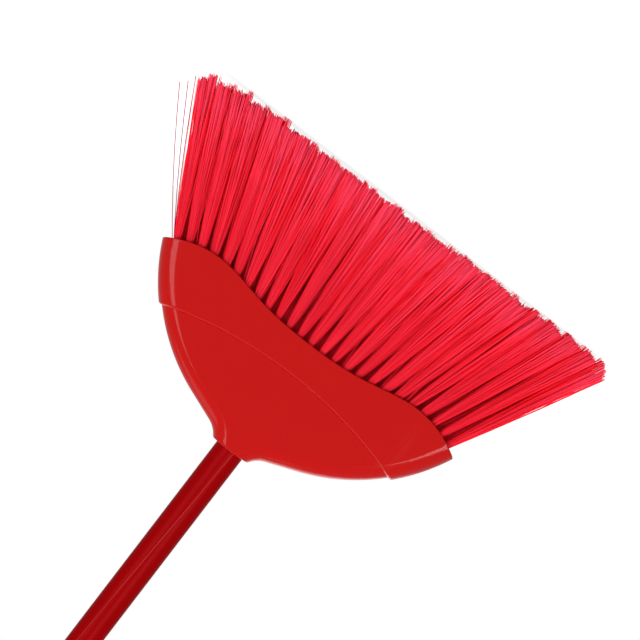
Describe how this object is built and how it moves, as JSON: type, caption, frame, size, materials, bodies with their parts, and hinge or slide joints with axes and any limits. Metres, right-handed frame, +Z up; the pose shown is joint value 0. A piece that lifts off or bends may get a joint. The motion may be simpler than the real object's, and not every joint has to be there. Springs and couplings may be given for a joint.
{
  "type": "broom",
  "caption": "Upright broom with a flared moulded head, staggered tufts fanning out of a wavy mouth, and a film-covered tube handle that screws into the head.",
  "frame": {"origin": "middle of the rectangle round the broom's plan, on the floor under the bristle tips", "axes": "+Z up along the handle, X across the width of the head, Y through its depth with the front face towards -Y"},
  "size_m": [0.357, 0.0636, 1.3975],
  "materials": {
    "shroud_plastic": "satin moulded red",
    "block_plastic": "plain moulded red",
    "bristle": "bright pinkish red filament",
    "anchor_steel": "drawn wire",
    "fitting_plastic": "plain moulded red",
    "tube_steel": "rolled",
    "handle_film": "glossy red film"
  },
  "bodies": {
    "head": {"shroud": "shroud_plastic", "tuft_block": "block_plastic", "tuft_row_front": "bristle", "tuft_row_front_middle": "bristle", "tuft_row_back_middle": "bristle", "tuft_row_back": "bristle", "tuft_anchors": "anchor_steel"},
    "tip": {"threaded_tip": "fitting_plastic"},
    "handle": {"handle_tube": "tube_steel", "handle_film": "handle_film", "hanger_cap": "fitting_plastic"}
  },
  "joints": [
    {"name": "handle_rise", "type": "slide", "parent": "head", "child": "tip", "axis": [0, 0, 1], "range_m": [0, 0.02794]},
    {"name": "handle_turn", "type": "hinge", "parent": "tip", "child": "handle", "pos_m": [0, 0, 0.2], "axis": [0, 0, 1], "range_deg": [0, 1980]}
  ],
  "couplings": [
    {"joint": "handle_turn", "follows": "handle_rise", "rad_per_m": 1236.8}
  ]
}
